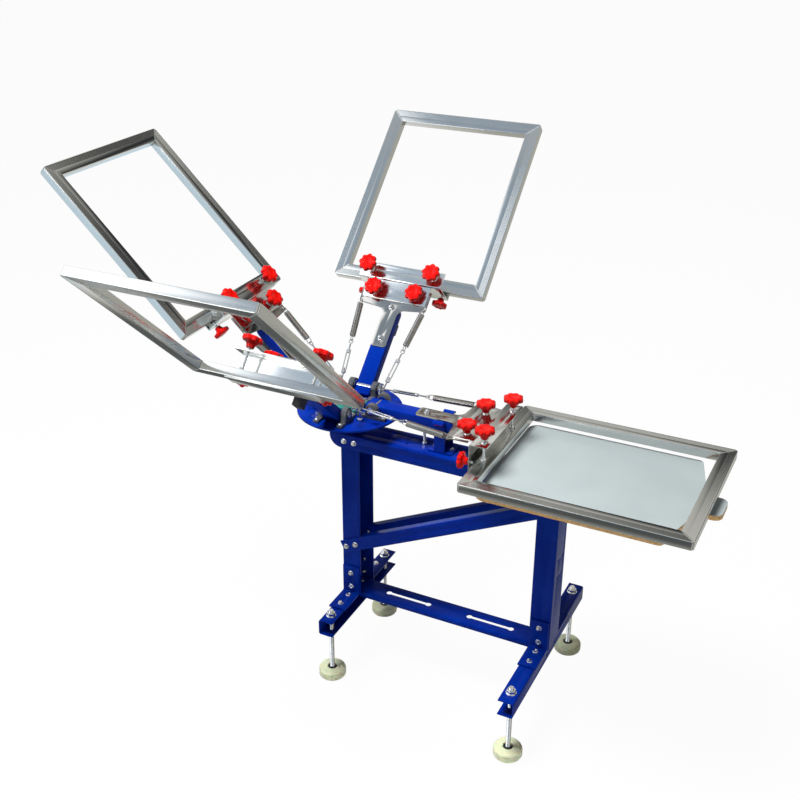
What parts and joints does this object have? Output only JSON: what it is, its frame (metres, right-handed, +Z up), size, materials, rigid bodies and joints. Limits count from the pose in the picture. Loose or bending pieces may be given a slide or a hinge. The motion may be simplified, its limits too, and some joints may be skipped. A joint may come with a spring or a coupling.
{
  "type": "screen printing press",
  "caption": "Floor-standing carousel press: sprung print heads on a turntable swing down one at a time over a fixed white pallet on a folded-steel stand.",
  "frame": {"origin": "on the floor, in the plane through the beam, midway along the outer box; the box's own middle lies 5 mm towards -Y, because one raised head hangs a little lower than its neighbour", "axes": "+Z up, +X from the carousel to the pallet along the beam, +Y to the left when facing the pallet end from the carousel"},
  "size_m": [1.8756, 1.6378, 1.4876],
  "materials": {
    "aluminium_tube": "brushed along the rails",
    "bearing_green": "satin teal green",
    "block_grey": "satin zinc",
    "blue_paint": "gloss powder coat, cobalt blue",
    "board": "cut edge, clear lacquer",
    "laminate": "white laminate, satin",
    "nylon": "satin cream",
    "post_dark": "satin black",
    "red_plastic": "gloss",
    "spring_steel": "nickel plated",
    "steel_plate": "polished",
    "zinc": "bright zinc"
  },
  "bodies": {
    "stand": {"rear_upright": "blue_paint", "front_upright": "blue_paint", "rear_foot_channel": "blue_paint", "front_foot_channel": "blue_paint", "foot_brackets": "blue_paint", "stretcher": "blue_paint", "near_brace": "blue_paint", "far_brace": "blue_paint", "main_beam": "blue_paint", "frame_bolts": "zinc", "pallet_bracket": "blue_paint", "pallet_board": "board", "pallet_laminate": "laminate", "registration_gate": "blue_paint", "centre_post": "post_dark"},
    "foot_1": {"levelling_foot_1": "nylon"},
    "foot_2": {"levelling_foot_2": "nylon"},
    "foot_3": {"levelling_foot_3": "nylon"},
    "foot_4": {"levelling_foot_4": "nylon"},
    "carousel": {"carousel_disc": "blue_paint", "flange_bearing": "bearing_green", "pillow_blocks": "block_grey", "carousel_bolts": "zinc", "spring_anchors": "zinc"},
    "head_a": {"arm_a": "blue_paint", "head_plate_a": "steel_plate"},
    "carriage_a": {"clamp_channel_a": "steel_plate", "screen_frame_a": "aluminium_tube"},
    "clamp_a": {"clamp_screws_a": "red_plastic"},
    "knobs_a": {"plate_knobs_a": "red_plastic"},
    "side_a": {"side_screws_a": "red_plastic"},
    "links_a": {"turnbuckles_a": "zinc"},
    "spring_pair_a": {"springs_a": "spring_steel"},
    "head_b": {"arm_b": "blue_paint", "head_plate_b": "steel_plate"},
    "carriage_b": {"clamp_channel_b": "steel_plate", "screen_frame_b": "aluminium_tube"},
    "clamp_b": {"clamp_screws_b": "red_plastic"},
    "knobs_b": {"plate_knobs_b": "red_plastic"},
    "side_b": {"side_screws_b": "red_plastic"},
    "links_b": {"turnbuckles_b": "zinc"},
    "spring_pair_b": {"springs_b": "spring_steel"},
    "head_c": {"arm_c": "blue_paint", "head_plate_c": "steel_plate"},
    "carriage_c": {"clamp_channel_c": "steel_plate", "screen_frame_c": "aluminium_tube"},
    "clamp_c": {"clamp_screws_c": "red_plastic"},
    "knobs_c": {"plate_knobs_c": "red_plastic"},
    "side_c": {"side_screws_c": "red_plastic"},
    "links_c": {"turnbuckles_c": "zinc"},
    "spring_pair_c": {"springs_c": "spring_steel"},
    "head_d": {"arm_d": "blue_paint", "head_plate_d": "steel_plate"},
    "carriage_d": {"clamp_channel_d": "steel_plate", "screen_frame_d": "aluminium_tube"},
    "clamp_d": {"clamp_screws_d": "red_plastic"},
    "knobs_d": {"plate_knobs_d": "red_plastic"},
    "side_d": {"side_screws_d": "red_plastic"},
    "links_d": {"turnbuckles_d": "zinc"},
    "spring_pair_d": {"springs_d": "spring_steel"}
  },
  "joints": [
    {"name": "foot_1_turn", "type": "hinge", "parent": "stand", "child": "foot_1", "pos_m": [-0.10419, -0.176, 0.2], "axis": [0, 0, 1], "continuous": true},
    {"name": "foot_2_turn", "type": "hinge", "parent": "stand", "child": "foot_2", "pos_m": [-0.10419, 0.176, 0.2], "axis": [0, 0, 1], "continuous": true},
    {"name": "foot_3_turn", "type": "hinge", "parent": "stand", "child": "foot_3", "pos_m": [0.49581, -0.257, 0.2], "axis": [0, 0, 1], "continuous": true},
    {"name": "foot_4_turn", "type": "hinge", "parent": "stand", "child": "foot_4", "pos_m": [0.49581, 0.257, 0.2], "axis": [0, 0, 1], "continuous": true},
    {"name": "carousel_spin", "type": "hinge", "parent": "stand", "child": "carousel", "pos_m": [-0.12419, 0, 0.825], "axis": [0, 0, 1], "continuous": true},
    {"name": "lift_a", "type": "hinge", "parent": "carousel", "child": "head_a", "pos_m": [-0.03419, 0, 0.855], "axis": [0, -1, 0], "range_deg": [0, 44]},
    {"name": "links_a_swing", "type": "hinge", "parent": "carousel", "child": "links_a", "pos_m": [-0.05719, 0, 0.8695], "axis": [0, -1, 0], "range_deg": [0, 41.41]},
    {"name": "springs_a_stretch", "type": "slide", "parent": "links_a", "child": "spring_pair_a", "axis": [0.9997, 0, -0.0244], "range_m": [-0.0161, 0], "deforming": ["springs_a"]},
    {"name": "carriage_a_adjust", "type": "slide", "parent": "head_a", "child": "carriage_a", "axis": [1, 0, 0], "range_m": [-0.004, 0.004]},
    {"name": "clamp_a_release", "type": "slide", "parent": "carriage_a", "child": "clamp_a", "axis": [0, 0, 1], "range_m": [0, 0.012]},
    {"name": "knobs_a_release", "type": "slide", "parent": "head_a", "child": "knobs_a", "axis": [0, 0, 1], "range_m": [0, 0.003]},
    {"name": "side_a_release", "type": "slide", "parent": "carriage_a", "child": "side_a", "axis": [-1, 0, 0], "range_m": [0, 0.008]},
    {"name": "lift_b", "type": "hinge", "parent": "carousel", "child": "head_b", "pos_m": [-0.12419, 0.09, 0.855], "axis": [1, 0, 0], "range_deg": [-44, 0]},
    {"name": "links_b_swing", "type": "hinge", "parent": "carousel", "child": "links_b", "pos_m": [-0.12419, 0.067, 0.8565], "axis": [1, 0, 0], "range_deg": [-40.85, 0]},
    {"name": "springs_b_stretch", "type": "slide", "parent": "links_b", "child": "spring_pair_b", "axis": [0, 0.7427, 0.6697], "range_m": [0, 0.0075], "deforming": ["springs_b"]},
    {"name": "carriage_b_adjust", "type": "slide", "parent": "head_b", "child": "carriage_b", "axis": [0, 0.7193, 0.6947], "range_m": [-0.004, 0.004]},
    {"name": "clamp_b_release", "type": "slide", "parent": "carriage_b", "child": "clamp_b", "axis": [0, -0.6947, 0.7193], "range_m": [0, 0.012]},
    {"name": "knobs_b_release", "type": "slide", "parent": "head_b", "child": "knobs_b", "axis": [0, -0.6947, 0.7193], "range_m": [0, 0.003]},
    {"name": "side_b_release", "type": "slide", "parent": "carriage_b", "child": "side_b", "axis": [0, -0.7193, -0.6947], "range_m": [0, 0.008]},
    {"name": "lift_c", "type": "hinge", "parent": "carousel", "child": "head_c", "pos_m": [-0.21419, 0, 0.855], "axis": [0, 1, 0], "range_deg": [-44, 0]},
    {"name": "links_c_swing", "type": "hinge", "parent": "carousel", "child": "links_c", "pos_m": [-0.19119, 0, 0.8695], "axis": [0, 1, 0], "range_deg": [-41.41, 0]},
    {"name": "springs_c_stretch", "type": "slide", "parent": "links_c", "child": "spring_pair_c", "axis": [-0.766, 0, 0.6428], "range_m": [0, 0.0161], "deforming": ["springs_c"]},
    {"name": "carriage_c_adjust", "type": "slide", "parent": "head_c", "child": "carriage_c", "axis": [-0.7193, 0, 0.6947], "range_m": [-0.004, 0.004]},
    {"name": "clamp_c_release", "type": "slide", "parent": "carriage_c", "child": "clamp_c", "axis": [0.6947, 0, 0.7193], "range_m": [0, 0.012]},
    {"name": "knobs_c_release", "type": "slide", "parent": "head_c", "child": "knobs_c", "axis": [0.6947, 0, 0.7193], "range_m": [0, 0.003]},
    {"name": "side_c_release", "type": "slide", "parent": "carriage_c", "child": "side_c", "axis": [0.7193, 0, -0.6947], "range_m": [0, 0.008]},
    {"name": "lift_d", "type": "hinge", "parent": "carousel", "child": "head_d", "pos_m": [-0.12419, -0.09, 0.855], "axis": [-1, 0, 0], "range_deg": [-43, 1]},
    {"name": "links_d_swing", "type": "hinge", "parent": "carousel", "child": "links_d", "pos_m": [-0.12419, -0.067, 0.8565], "axis": [-1, 0, 0], "range_deg": [-39.93, 0.94]},
    {"name": "springs_d_stretch", "type": "slide", "parent": "links_d", "child": "spring_pair_d", "axis": [0, -0.7536, 0.6574], "range_m": [-0.0003, 0.0073], "deforming": ["springs_d"]},
    {"name": "carriage_d_adjust", "type": "slide", "parent": "head_d", "child": "carriage_d", "axis": [0, -0.7314, 0.682], "range_m": [-0.004, 0.004]},
    {"name": "clamp_d_release", "type": "slide", "parent": "carriage_d", "child": "clamp_d", "axis": [0, 0.682, 0.7314], "range_m": [0, 0.012]},
    {"name": "knobs_d_release", "type": "slide", "parent": "head_d", "child": "knobs_d", "axis": [0, 0.682, 0.7314], "range_m": [0, 0.003]},
    {"name": "side_d_release", "type": "slide", "parent": "carriage_d", "child": "side_d", "axis": [0, 0.7314, -0.682], "range_m": [0, 0.008]}
  ],
  "couplings": [
    {"joint": "links_a_swing", "follows": "lift_a", "ratio": 0.94087},
    {"joint": "springs_a_stretch", "follows": "lift_a", "m_per_rad": -0.020774},
    {"joint": "links_b_swing", "follows": "lift_b", "ratio": 0.92828},
    {"joint": "springs_b_stretch", "follows": "lift_b", "m_per_rad": -0.009632},
    {"joint": "links_c_swing", "follows": "lift_c", "ratio": 0.94087},
    {"joint": "springs_c_stretch", "follows": "lift_c", "m_per_rad": -0.020774},
    {"joint": "links_d_swing", "follows": "lift_d", "ratio": 0.92828},
    {"joint": "springs_d_stretch", "follows": "lift_d", "m_per_rad": -0.009632}
  ]
}
